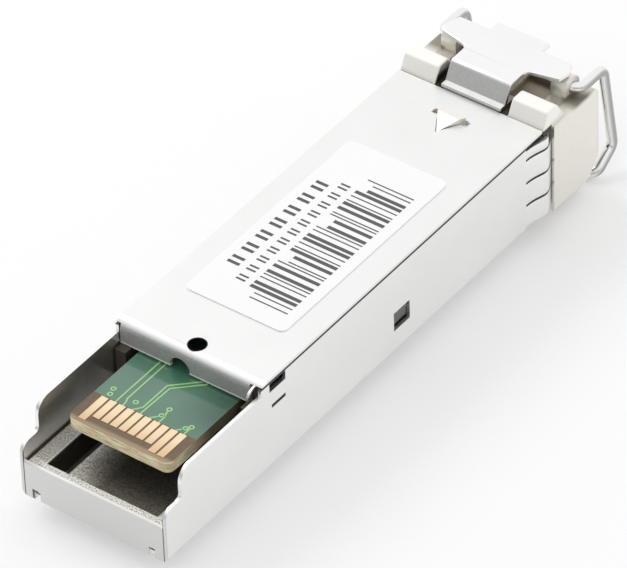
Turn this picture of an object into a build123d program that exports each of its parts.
from build123d import *
import os

# Pluggable duplex optical transceiver, lying on the bottom of its folded shell.
# The origin is the centre of the body's bottom face. +Y points to the nose, +Z to the label face.
# All sizes are in millimetres.

os.makedirs("parts", exist_ok=True)

# Envelope of the pluggable body
body_width = 13.4
body_height = 8.5
body_length = 47.7
sheet = 0.3
fit_gap = 0.05
wall_x = body_width / 2
inner_x = wall_x - sheet
rear_y = -body_length / 2
stop_y = body_length / 2
cover_bottom = body_height - sheet
seam = 0.08
shell_top = cover_bottom - seam

# Folded shell
bend_radius = 0.5
end_wall_height = 3.25
skirt_height = body_height - 1.0
skirt_step_height = 4.85
skirt_step_depth = 2.0
skirt_foot_radius = 0.9
skirt_inner_radius = 0.45
skirt_shoulder_radius = 1.3
relief_inner_x = 5.0
relief_width = 0.55
relief_height = 0.8
finger_root_y = stop_y - 2.2
finger_tip_y = stop_y + 1.1
finger_bow = 0.38
short_finger_y = stop_y + 0.3
finger_top = body_height - 0.6
finger_slit = 0.22
side_finger_slits = (2.55, 4.75, 7.0)
bottom_finger_slits = (-3.3, 0.0, 3.3)
window_y = (28.15, 30.17)
window_z = (2.2, 3.93)
ear_hole_y = (12.74, 14.7)
ear_hole_z = (body_height - 1.26, body_height - 0.46)
slit_y = (12.96, 14.65)
slit_z = (5.62, 5.94)

# Cover
cover_rear_y = rear_y + 11.75
cover_front_y = stop_y - 0.05
cover_bend = 0.8
flange_x = (-6.3, 5.6)
flange_notch_radius = 0.9
flange_notch_x = -0.8
locating_hole_diameter = 1.35
locating_hole_y = cover_rear_y + 1.2
tab_width = 1.9

# Latch boss
latch_y = stop_y - 2.45
boss_width = 2.6
boss_length = 2.1
boss_height = 0.45
boss_window_gap = 0.18

# Label
label_x = (-4.75, 4.5)
label_y = (rear_y + 17.5, rear_y + 38.5)
label_radius = 0.6
label_thickness = 0.08

# Circuit board and card edge
board_bottom = 5.25
board_thickness = 1.0
board_top = board_bottom + board_thickness
flange_bottom = board_top + 0.2
card_width = 9.4
card_y = rear_y + 3.2
card_corner = 0.65
board_width = 10.5
board_step_y = rear_y + 12.4
pad_pitch = 0.8
pad_width = 0.62
pad_thickness = 0.04
pad_count = 10
pad_front_y = rear_y + 6.4
long_pad_y = card_y + 0.35
short_pad_y = card_y + 1.0
long_pads = (0, 8, 9)
chip_height = 0.9
driver_width = 4.0
driver_centre = (-1.8, 7.1)

# Cast housing
housing_x = inner_x - fit_gap
housing_bottom = sheet + fit_gap
housing_top = cover_bottom - fit_gap
tray_rim = 3.2
tray_rim_depth = 0.5
basin_floor = 2.6
slot_floor = 0.8
slot_x = (-4.9, -3.35)
basin_x = 5.3
chamber_y = rear_y + 11.0
chamber_floor = 1.2
ledge_x = 4.3
chamber_x = board_width / 2 + fit_gap
optics_x = housing_x - 0.5
optics_floor = 1.0

# Nose of the housing
nose_width = 13.9
nose_x = nose_width / 2
nose_rear_y = stop_y + 1.2
nose_front_y = stop_y + 7.5
nose_bottom = -0.18
nose_chamfer_depth = 1.66
nose_chamfer_height = 2.2
nose_edge = 0.45
nose_top = body_height - 0.3
nose_brow = 0.7
block_inner_x = 3.4
block_outer_x = nose_x - 0.2
block_height = body_height + 1.3
block_depth = 2.4
block_edge = 0.4
stem_half_width = 1.4
pit_floor = nose_top - 0.55

# Optical ports
port_pitch = 6.25
port_x = port_pitch / 2
optical_z = 4.6
port_size = 4.7
key_width = 2.7
key_depth = 1.75
insert_x = nose_x - 1.1
insert_bottom = 0.5
insert_top = body_height - 1.35
insert_rear_y = stop_y - 1.9
bridge_y = insert_rear_y - 3.6
optics_y = bridge_y - 5.8
board_front_y = optics_y - 0.8
insert_front_y = nose_front_y - 0.35
port_back_y = insert_rear_y + 1.6

# Transmit and receive barrels
ferrule_radius = 0.63
sleeve_wall = 0.22
barrel_nose_radius = 1.4
barrel_radius = 2.2
barrel_flange_radius = 2.55
header_radius = 2.35
header_length = 1.6
barrel_rear_y = optics_y + 2.4
barrel_front_y = port_back_y + 2.4
sleeve_rear_y = insert_rear_y - 1.4
lead_radius = 0.18

# Release slide
slide_sheet = 0.3
slide_lift = 0.05
plate_bottom = body_height + 1.55
ramp_run = 0.55 * (plate_bottom - body_height - slide_lift)
fold_shift = 0.6 * slide_sheet
slide_bend = 0.45
slide_rear_y = stop_y
slide_lip = 0.75
slide_front_y = stop_y + 7.2
tongue_x = 2.8
wing_rear_y = stop_y + 4.0
wing_slope = 0.6
wing_front_y = stop_y + 6.1
centre_tab_x = 2.45

# Wire bail
wire_radius = 0.425
pivot_gap = 0.05
pivot_y = stop_y + 5.25
pivot_z = body_height + 0.45
arm_x = nose_x - 0.45
stub_x = arm_x - 1.8
lug_x = (arm_x - 2.05, arm_x - 0.65)
wing_x = arm_x - 0.8
lug_radius = 0.95
bail_front_y = stop_y + 8.45
bail_foot_y = stop_y + 9.85
crossbar_y = stop_y + 7.4
crossbar_z = -1.07
wire_bend = 0.85


def block(x_range, y_range, z_range, mode=Mode.ADD):
    """Add or cut a box that is given by its lowest and highest x, y and z."""
    centre = (sum(x_range) / 2, sum(y_range) / 2, sum(z_range) / 2)
    with Locations(centre):
        Box(
            x_range[1] - x_range[0],
            y_range[1] - y_range[0],
            z_range[1] - z_range[0],
            mode=mode,
        )


def from_rear(y_range):
    """Turn distances from the rear end wall into places along Y."""
    return (rear_y + y_range[0], rear_y + y_range[1])


def round_corner(outline, corner, radius):
    """Round the corner of an outline that lies nearest to a point."""
    fillet(outline.vertices().sort_by_distance(corner)[0], radius)


def nose_profile(start_y, end_y):
    """Draw the nose from the side, with the chamfer under its front."""
    with BuildSketch(mode=Mode.PRIVATE) as profile:
        with BuildLine():
            Polyline(
                (start_y, nose_bottom), (end_y - nose_chamfer_depth, nose_bottom),
                (end_y, nose_bottom + nose_chamfer_height), (end_y, nose_top - nose_brow),
                (end_y - nose_brow, nose_top), (start_y, nose_top), (start_y, nose_bottom),
            )
        make_face()
    add(profile.sketch)


def save(builder, name):
    """Label a finished piece and write it."""
    builder.part.label = name
    export_step(builder.part, f"parts/{name}.step")


# Shell: one sheet folded up at both sides and at the rear end
with BuildPart() as shell:
    with BuildSketch(Plane.XZ.offset(-rear_y)):
        with BuildLine():
            Polyline(
                (-wall_x, shell_top), (-wall_x, 0), (wall_x, 0), (wall_x, shell_top),
                (inner_x, shell_top), (inner_x, sheet), (-inner_x, sheet),
                (-inner_x, shell_top), (-wall_x, shell_top),
            )
        make_face()
    extrude(amount=rear_y - finger_root_y)
    with BuildSketch(Plane.YZ) as side_outline:
        with BuildLine():
            Polyline(
                (rear_y, 0), (rear_y, skirt_step_height),
                (rear_y + skirt_step_depth, skirt_step_height),
                (rear_y + skirt_step_depth, skirt_height), (cover_rear_y, skirt_height),
                (cover_rear_y, shell_top), (finger_root_y, shell_top),
                (finger_root_y, 0), (rear_y, 0),
            )
        make_face()
        step_y = rear_y + skirt_step_depth
        round_corner(side_outline, (rear_y, skirt_step_height), skirt_foot_radius)
        round_corner(side_outline, (step_y, skirt_step_height), skirt_inner_radius)
        round_corner(side_outline, (step_y, skirt_height), skirt_shoulder_radius)
    extrude(amount=wall_x, both=True, mode=Mode.INTERSECT)
    block((-inner_x, inner_x), (rear_y, rear_y + sheet), (sheet, end_wall_height))
    fillet(shell.edges().filter_by(Axis.Y).group_by(Axis.Z)[0], bend_radius)
    for side in (-1, 1):
        relief = sorted((side * relief_inner_x, side * (relief_inner_x + relief_width)))
        block(relief, (rear_y, rear_y + sheet), (0, relief_height), Mode.SUBTRACT)
        wall = sorted((side * inner_x, side * wall_x))
        block(wall, from_rear(window_y), window_z, Mode.SUBTRACT)
        block(wall, from_rear(ear_hole_y), ear_hole_z, Mode.SUBTRACT)
        block(wall, from_rear(slit_y), slit_z, Mode.SUBTRACT)
    # Bowed spring fingers on both sides
    with BuildSketch(Plane.XY.offset(bend_radius)):
        with BuildLine():
            bow_y = finger_tip_y - 0.9
            outer = Spline(
                (wall_x, finger_root_y), (wall_x + finger_bow, bow_y), (wall_x, finger_tip_y),
                tangents=((0, 1), (-0.45, 1)),
            )
            inner = Spline(
                (inner_x, finger_root_y), (inner_x + finger_bow, bow_y), (inner_x, finger_tip_y),
                tangents=((0, 1), (-0.45, 1)),
            )
            Line(outer @ 0, inner @ 0)
            Line(outer @ 1, inner @ 1)
        make_face()
        mirror(about=Plane.YZ)
    extrude(amount=finger_top - bend_radius)
    # Bowed spring fingers underneath
    with BuildSketch(Plane.YZ.offset(-nose_x + 1.1)):
        with BuildLine():
            lower = ThreePointArc(
                (finger_root_y, 0),
                ((finger_root_y + finger_tip_y) / 2, -finger_bow / 2),
                (finger_tip_y, 0),
            )
            upper = ThreePointArc(
                (finger_root_y, sheet),
                ((finger_root_y + finger_tip_y) / 2, sheet - finger_bow / 2),
                (finger_tip_y, sheet),
            )
            Line(lower @ 0, upper @ 0)
            Line(lower @ 1, upper @ 1)
        make_face()
    extrude(amount=2 * (nose_x - 1.1))
    beyond = finger_tip_y + 1
    for height in side_finger_slits:
        slit = (height - finger_slit / 2, height + finger_slit / 2)
        block((-nose_x - 1, nose_x + 1), (finger_root_y, beyond), slit, Mode.SUBTRACT)
    top_finger = (side_finger_slits[-1], finger_top)
    block((-nose_x - 1, nose_x + 1), (short_finger_y, beyond), top_finger, Mode.SUBTRACT)
    for place in bottom_finger_slits:
        slit = (place - finger_slit / 2, place + finger_slit / 2)
        block(slit, (finger_root_y, beyond), (-1, 1), Mode.SUBTRACT)
save(shell, "shell")

# Cover: one sheet with a rear flange bent down and two snap tabs
with BuildPart() as cover:
    with BuildSketch(Plane.YZ) as side_outline:
        with BuildLine():
            Polyline(
                (cover_front_y, body_height), (cover_rear_y, body_height),
                (cover_rear_y, flange_bottom), (cover_rear_y + sheet, flange_bottom),
                (cover_rear_y + sheet, cover_bottom), (cover_front_y, cover_bottom),
                (cover_front_y, body_height),
            )
        make_face()
        round_corner(side_outline, (cover_rear_y, body_height), cover_bend)
        inside = (cover_rear_y + sheet, cover_bottom)
        round_corner(side_outline, inside, cover_bend - sheet)
    extrude(amount=wall_x, both=True)
    for ends in ((-wall_x, flange_x[0]), (flange_x[1], wall_x)):
        deep = (flange_bottom, cover_bottom)
        block(ends, (cover_rear_y, cover_rear_y + 1), deep, Mode.SUBTRACT)
    with BuildSketch(Plane.XZ.offset(-cover_rear_y)):
        with Locations((flange_notch_x, flange_bottom + 0.2)):
            Circle(flange_notch_radius)
    extrude(amount=-1, mode=Mode.SUBTRACT)
    with Locations((0, locating_hole_y, body_height)):
        Hole(locating_hole_diameter / 2)
    with BuildSketch(Plane.XY.offset(cover_bottom)):
        with BuildLine():
            Polyline(
                (-boss_width / 2 - boss_window_gap, latch_y + boss_window_gap),
                (boss_width / 2 + boss_window_gap, latch_y + boss_window_gap),
                (0, latch_y - boss_length - boss_window_gap),
                (-boss_width / 2 - boss_window_gap, latch_y + boss_window_gap),
            )
        make_face()
        with Locations((0, latch_y - boss_window_gap)):
            Rectangle(boss_width + 4 * boss_window_gap, 3 * boss_window_gap)
    extrude(amount=sheet, mode=Mode.SUBTRACT)
    tab_outer = inner_x - fit_gap
    for side in (-1, 1):
        hanging = sorted((side * tab_outer, side * (tab_outer - sheet)))
        tab_y = (rear_y + window_y[0] + 0.05, rear_y + window_y[0] + tab_width)
        block(hanging, tab_y, (window_z[0] + 0.4, cover_bottom))
        catch = sorted((side * tab_outer, side * (inner_x + 0.1)))
        block(catch, tab_y, (window_z[1] - 0.65, window_z[1] - 0.1))
save(cover, "cover")

# Label on the cover
with BuildPart() as label:
    with BuildSketch(Plane.XY.offset(body_height)):
        with Locations((sum(label_x) / 2, sum(label_y) / 2)):
            RectangleRounded(label_x[1] - label_x[0], label_y[1] - label_y[0], label_radius)
    extrude(amount=label_thickness)
save(label, "label")

# Latch boss, a wedge that rises from its rear point to the shoulder that holds the cage's latch
with BuildPart() as latch_boss:
    boss_top = body_height + boss_height
    with BuildSketch(Plane.XY.offset(housing_top - sheet)):
        with BuildLine():
            Polyline(
                (-boss_width / 2, latch_y), (boss_width / 2, latch_y),
                (0, latch_y - boss_length), (-boss_width / 2, latch_y),
            )
        make_face()
    extrude(amount=boss_top - housing_top + sheet)
    with BuildSketch(Plane.YZ):
        with BuildLine():
            Polyline(
                (latch_y, housing_top - sheet), (latch_y, boss_top),
                (latch_y - 0.5, boss_top), (latch_y - boss_length, body_height - sheet / 2),
                (latch_y - boss_length, housing_top - sheet), (latch_y, housing_top - sheet),
            )
        make_face()
    extrude(amount=boss_width, both=True, mode=Mode.INTERSECT)

# Stop block beside the slide, which meets the cage and runs down into the nose
with BuildPart() as stop_block:
    with BuildSketch(Plane.YZ.offset(block_inner_x)) as side_outline:
        with BuildLine():
            top_front = (stop_y + block_depth - 0.5, block_height)
            block_rear = Polyline(
                (stop_y, nose_top - 0.3), (stop_y, body_height),
                (stop_y + 0.7, block_height), top_front,
                (stop_y + block_depth, block_height - 0.6),
            )
            block_curve = ThreePointArc(
                block_rear @ 1,
                (stop_y + block_depth + 0.25, body_height + 0.1),
                (stop_y + block_depth + 0.9, nose_top - 0.3),
            )
            Line(block_curve @ 1, block_rear @ 0)
        make_face()
        round_corner(side_outline, (stop_y + 0.7, block_height), block_edge)
        round_corner(side_outline, top_front, block_edge)
    extrude(amount=block_outer_x - block_inner_x)
    ends = stop_block.faces().filter_by(Axis.X)
    rims = [end.edges().sort_by(Axis.Z)[-1] for end in ends]
    fillet(rims, block_edge / 2)

# Housing: one casting with the tray, the optics bay and the nose
with BuildPart() as housing:
    tray = (rear_y + sheet + fit_gap, chamber_y)
    block((-housing_x, housing_x), tray, (housing_bottom, tray_rim))
    block((-housing_x, housing_x), (chamber_y, nose_rear_y), (housing_bottom, housing_top))
    fillet(housing.edges().filter_by(Axis.Y).group_by(Axis.Z)[0], bend_radius - sheet)
    # Basin and deep slot in the tray
    basin = (rear_y + sheet + fit_gap + tray_rim_depth, chamber_y)
    block((slot_x[1], basin_x), basin, (basin_floor, tray_rim), Mode.SUBTRACT)
    block(slot_x, (basin[0], chamber_y - 3), (slot_floor, tray_rim), Mode.SUBTRACT)
    # Room for the board, with a ledge along each side
    lower_room = (chamber_floor, board_bottom - fit_gap)
    upper_room = (board_bottom - fit_gap, housing_top)
    block((-ledge_x, ledge_x), (chamber_y + 1.2, optics_y), lower_room, Mode.SUBTRACT)
    block((-ledge_x, ledge_x), (chamber_y, chamber_y + 1.2), (basin_floor, 5.3), Mode.SUBTRACT)
    block((-chamber_x, chamber_x), (chamber_y, optics_y), upper_room, Mode.SUBTRACT)
    # Slot for the cover's rear flange
    flange_slot = (chamber_y, cover_rear_y + sheet + fit_gap)
    behind = (flange_bottom - fit_gap, housing_top)
    block((-housing_x, housing_x), flange_slot, behind, Mode.SUBTRACT)
    # Bay for the two barrels, open upward as far as the bridge
    block((-optics_x, optics_x), (optics_y, bridge_y), (optics_floor, housing_top), Mode.SUBTRACT)
    bay = (bridge_y, insert_rear_y)
    block((-optics_x, optics_x), bay, (optics_floor, insert_top), Mode.SUBTRACT)
    # Room for the cover's snap tabs and for the ear holes
    for side in (-1, 1):
        recess_y = (rear_y + window_y[0] - 0.2, rear_y + window_y[1] + 0.2)
        recess = sorted((side * (housing_x - 0.45), side * housing_x))
        block(recess, recess_y, (window_z[0], housing_top), Mode.SUBTRACT)
        ear = sorted((side * (housing_x - 0.6), side * housing_x))
        block(ear, from_rear(ear_hole_y), (ear_hole_z[0], housing_top), Mode.SUBTRACT)
    # Nose
    with BuildSketch(Plane.YZ):
        nose_profile(nose_rear_y, nose_front_y)
    extrude(amount=nose_x, both=True)
    bottom_edges = housing.edges().filter_by(Axis.Y).group_by(Axis.Z)[0]
    fillet(bottom_edges, bend_radius - sheet)
    upright = housing.edges().filter_by(Axis.Z).group_by(Axis.Y)[-1]
    fillet(upright, nose_edge)
    # Neck above the cover's level, which the slide's lip rests on
    neck = (cover_front_y + fit_gap, nose_rear_y)
    block((-housing_x, housing_x), neck, (housing_top, body_height))
    block((-block_outer_x, block_outer_x), (nose_rear_y, nose_rear_y + 1), (nose_top, body_height))
    # Opening for the port insert
    port_bay = (insert_rear_y, nose_front_y)
    block((-insert_x, insert_x), port_bay, (insert_bottom, insert_top), Mode.SUBTRACT)
    add(stop_block.part)
    mirror(stop_block.part, about=Plane.YZ)
    # Stem under the slide's plate, with a pit on each side
    stem_y = (stop_y + block_depth, slide_front_y - 0.9)
    block((-stem_half_width, stem_half_width), stem_y, (nose_top - 0.9, plate_bottom - slide_lift))
    for side in (-1, 1):
        pit = sorted((side * (stem_half_width + 0.3), side * lug_x[0]))
        pit_y = (stop_y + block_depth, wing_front_y - 0.4)
        block(pit, pit_y, (pit_floor, nose_top + 1), Mode.SUBTRACT)
    # Lugs that the bail turns in
    with BuildSketch(Plane.YZ.offset(lug_x[0])):
        with BuildLine():
            Polyline(
                (pivot_y - lug_radius, nose_top - 0.6), (pivot_y - lug_radius, pivot_z),
                (pivot_y + lug_radius, pivot_z), (pivot_y + lug_radius, nose_top - 0.6),
                (pivot_y - lug_radius, nose_top - 0.6),
            )
        make_face()
        with Locations((pivot_y, pivot_z)):
            Circle(lug_radius)
    lug = extrude(amount=lug_x[1] - lug_x[0])
    mirror(lug, about=Plane.YZ)
    with Locations(Plane.YZ.offset(-nose_x)):
        with Locations((pivot_y, pivot_z)):
            Cylinder(
                wire_radius + pivot_gap, 2 * nose_x,
                align=(Align.CENTER, Align.CENTER, Align.MIN), mode=Mode.SUBTRACT,
            )
    add(latch_boss.part)
save(housing, "housing")

# Port insert with two keyed ports
with BuildPart() as port_insert:
    clear = fit_gap
    across = (clear - insert_x, insert_x - clear)
    up = (insert_bottom + clear, insert_top - clear)
    block(across, (insert_rear_y, insert_front_y), up)
    front_face = Plane.XZ.offset(-insert_front_y)
    with BuildSketch(front_face):
        with Locations((-port_x, optical_z), (port_x, optical_z)):
            Rectangle(port_size, port_size)
        with Locations((-port_x, optical_z - port_size / 2), (port_x, optical_z - port_size / 2)):
            Rectangle(key_width, key_depth, align=(Align.CENTER, Align.MAX))
    extrude(amount=insert_front_y - port_back_y, mode=Mode.SUBTRACT)
    with BuildSketch(front_face):
        with Locations((-port_x, optical_z), (port_x, optical_z)):
            Circle(barrel_nose_radius + clear)
    extrude(amount=insert_front_y - insert_rear_y, mode=Mode.SUBTRACT)
    with BuildSketch(Plane.YZ):
        nose_profile(insert_rear_y, insert_front_y)
    extrude(amount=nose_x, both=True, mode=Mode.INTERSECT)
save(port_insert, "port_insert")

# Circuit board
with BuildPart() as circuit_board:
    with BuildSketch(Plane.XY.offset(board_bottom)):
        with BuildLine():
            Polyline(
                (-card_width / 2, card_y), (card_width / 2, card_y),
                (card_width / 2, board_step_y), (board_width / 2, board_step_y),
                (board_width / 2, board_front_y), (-board_width / 2, board_front_y),
                (-board_width / 2, board_step_y), (-card_width / 2, board_step_y),
                (-card_width / 2, card_y),
            )
        outline = make_face()
        fillet(outline.vertices().group_by(Axis.Y)[0], card_corner)
    extrude(amount=board_thickness)
save(circuit_board, "circuit_board")


def contact_pads(name, level):
    """Make the row of gold contacts on one face of the card edge."""
    with BuildPart() as pads:
        for index in range(pad_count):
            start = long_pad_y if index in long_pads else short_pad_y
            centre = (index - (pad_count - 1) / 2) * pad_pitch
            edges = (centre - pad_width / 2, centre + pad_width / 2)
            block(edges, (start, pad_front_y), (level, level + pad_thickness))
    save(pads, name)


contact_pads("contact_pads_upper", board_top)
contact_pads("contact_pads_lower", board_bottom - pad_thickness)


def chip(name, centre, size, height, above=True):
    """Make a moulded chip body that stands on or hangs under the board.

    The centre's second number is counted back from the board's front end.
    """
    level = board_top if above else board_bottom - height
    with BuildPart() as package:
        with BuildSketch(Plane.XY.offset(level)):
            with Locations((centre[0], board_front_y - centre[1])):
                Rectangle(*size)
        extrude(amount=height)
        chamfer(package.edges().group_by(Axis.Z)[-1 if above else 0], 0.1)
    save(package, name)


chip("controller_chip", (-1.2, 16.6), (5.0, 5.0), chip_height)
chip("receiver_amplifier_chip", (2.3, 6.1), (3.0, 3.0), chip_height)
chip("laser_driver_chip", driver_centre, (driver_width, driver_width), chip_height, above=False)
chip("memory_chip", (1.9, 15.6), (3.0, 4.4), chip_height, above=False)

# Thermal pad between the laser driver and the casting's floor
with BuildPart() as thermal_pad:
    with BuildSketch(Plane.XY.offset(chamber_floor)):
        with Locations((driver_centre[0], board_front_y - driver_centre[1])):
            Rectangle(driver_width, driver_width)
    extrude(amount=board_bottom - chip_height - chamber_floor)
save(thermal_pad, "thermal_pad")


def chip_row(name, centres, size):
    """Make a group of small end-capped parts on the board's upper face."""
    with BuildPart() as group:
        for across, along in centres:
            edges = (across - size[0] / 2, across + size[0] / 2)
            middle = board_front_y - along
            ends = (middle - size[1] / 2, middle + size[1] / 2)
            block(edges, ends, (board_top, board_top + size[2]))
    save(group, name)


capacitor_places = [(3.6, 11.8 + 2.2 * step) for step in range(5)]
resistor_places = [(-4.5, 3.6 + 1.6 * step) for step in range(6)]
ferrite_places = [(-3.2 + 2.1 * step, 2.4) for step in range(3)]
chip_row("chip_capacitors", capacitor_places, (0.8, 1.6, 0.8))
chip_row("chip_resistors", resistor_places, (0.5, 1.0, 0.4))
chip_row("ferrite_beads", ferrite_places, (1.6, 0.8, 0.8))


def barrel(name, across):
    """Turn one optical barrel, whose nose passes through the port insert."""
    axis_plane = Plane((across, 0, optical_z), x_dir=(0, 1, 0), z_dir=(1, 0, 0))
    bore = ferrule_radius + sleeve_wall
    with BuildPart() as turned:
        with BuildSketch(axis_plane):
            with BuildLine():
                Polyline(
                    (barrel_rear_y, 0), (barrel_rear_y, barrel_radius),
                    (insert_rear_y - 1.0, barrel_radius),
                    (insert_rear_y - 1.0, barrel_flange_radius),
                    (insert_rear_y, barrel_flange_radius),
                    (insert_rear_y, barrel_nose_radius), (barrel_front_y, barrel_nose_radius),
                    (barrel_front_y, bore), (sleeve_rear_y, bore),
                    (sleeve_rear_y, 0), (barrel_rear_y, 0),
                )
            make_face()
        turning_axis = Axis((across, 0, optical_z), (0, 1, 0))
        revolve(axis=turning_axis)
    save(turned, f"{name}_barrel")

    with BuildPart() as header:
        with BuildSketch(Plane.XZ.offset(-barrel_rear_y)):
            with Locations((across, optical_z)):
                Circle(header_radius - 0.35)
        extrude(amount=header_length)
        with BuildSketch(Plane.XZ.offset(header_length - barrel_rear_y)):
            with Locations((across, optical_z)):
                Circle(header_radius)
        extrude(amount=-0.4)
    save(header, f"{name}_header")

    with BuildPart() as sleeve:
        with BuildSketch(Plane.XZ.offset(-barrel_front_y)):
            with Locations((across, optical_z)):
                Circle(bore)
                Circle(ferrule_radius, mode=Mode.SUBTRACT)
        extrude(amount=barrel_front_y - sleeve_rear_y)
    save(sleeve, f"{name}_sleeve")

    with BuildPart() as leads:
        lead_levels = (board_top + lead_radius, board_bottom - lead_radius)
        header_back = barrel_rear_y - header_length
        with BuildSketch(Plane.XZ.offset(-header_back)):
            with Locations(*[(across + step, z) for step in (-0.6, 0.6) for z in lead_levels]):
                RegularPolygon(lead_radius, 8)
        extrude(amount=header_back - (board_front_y - 1.2))
    save(leads, f"{name}_leads")


barrel("transmit", -port_x)
barrel("receive", port_x)

# Clamp that holds both barrels down in the bay
with BuildPart() as optics_clamp:
    clamp_y = (barrel_rear_y + 0.9, barrel_rear_y + 2.5)
    block((-optics_x + 0.1, optics_x - 0.1), clamp_y, (optical_z + 0.2, housing_top - 0.1))
    with BuildSketch(Plane.XZ.offset(-clamp_y[0])):
        with Locations((-port_x, optical_z), (port_x, optical_z)):
            Circle(barrel_radius)
    extrude(amount=-2, mode=Mode.SUBTRACT)
save(optics_clamp, "optics_clamp")

# Release slide: one folded sheet with a lip, a ramp and a winged plate
with BuildPart() as release_slide:
    lip_bottom = body_height + slide_lift
    ramp_start = slide_rear_y + slide_lip
    ramp_end = ramp_start + ramp_run
    plate_top = plate_bottom + slide_sheet
    lip_top = lip_bottom + slide_sheet
    with BuildSketch(Plane.YZ) as side_outline:
        with BuildLine():
            Polyline(
                (slide_rear_y, lip_bottom), (ramp_start, lip_bottom),
                (ramp_end, plate_bottom), (slide_front_y, plate_bottom),
                (slide_front_y, plate_top), (ramp_end - fold_shift, plate_top),
                (ramp_start - fold_shift, lip_top), (slide_rear_y, lip_top),
                (slide_rear_y, lip_bottom),
            )
        make_face()
        round_corner(side_outline, (ramp_end - fold_shift, plate_top), slide_bend)
        round_corner(side_outline, (ramp_start, lip_bottom), slide_bend)
    extrude(amount=wing_x, both=True)
    with BuildSketch(Plane.XY.offset(body_height)) as half_outline:
        with BuildLine():
            Polyline(
                (0, slide_rear_y), (tongue_x, slide_rear_y),
                (tongue_x, wing_rear_y - wing_slope),
                (wing_x - 0.2, wing_rear_y), (wing_x, wing_front_y - 1.05),
                (wing_x - 0.45, wing_front_y), (centre_tab_x, wing_front_y),
                (centre_tab_x, slide_front_y), (0, slide_front_y), (0, slide_rear_y),
            )
        make_face()
        round_corner(half_outline, (tongue_x, wing_rear_y - wing_slope), wing_slope)
        mirror(about=Plane.YZ)
    extrude(amount=3, mode=Mode.INTERSECT)
save(release_slide, "release_slide")

# Bail: one wire bent round the nose
with BuildPart() as bail:
    half = [
        (stub_x, pivot_y, pivot_z), (arm_x, pivot_y, pivot_z), (arm_x, bail_front_y, pivot_z),
        (arm_x, bail_foot_y, 0.55), (arm_x, crossbar_y, crossbar_z),
    ]
    other_half = [(-x, y, z) for x, y, z in reversed(half)]
    with BuildLine() as wire:
        FilletPolyline(*half, *other_half, radius=wire_bend)
    with BuildSketch(Plane(wire.line @ 0, z_dir=wire.line % 0)):
        Circle(wire_radius)
    sweep()
save(bail, "bail")
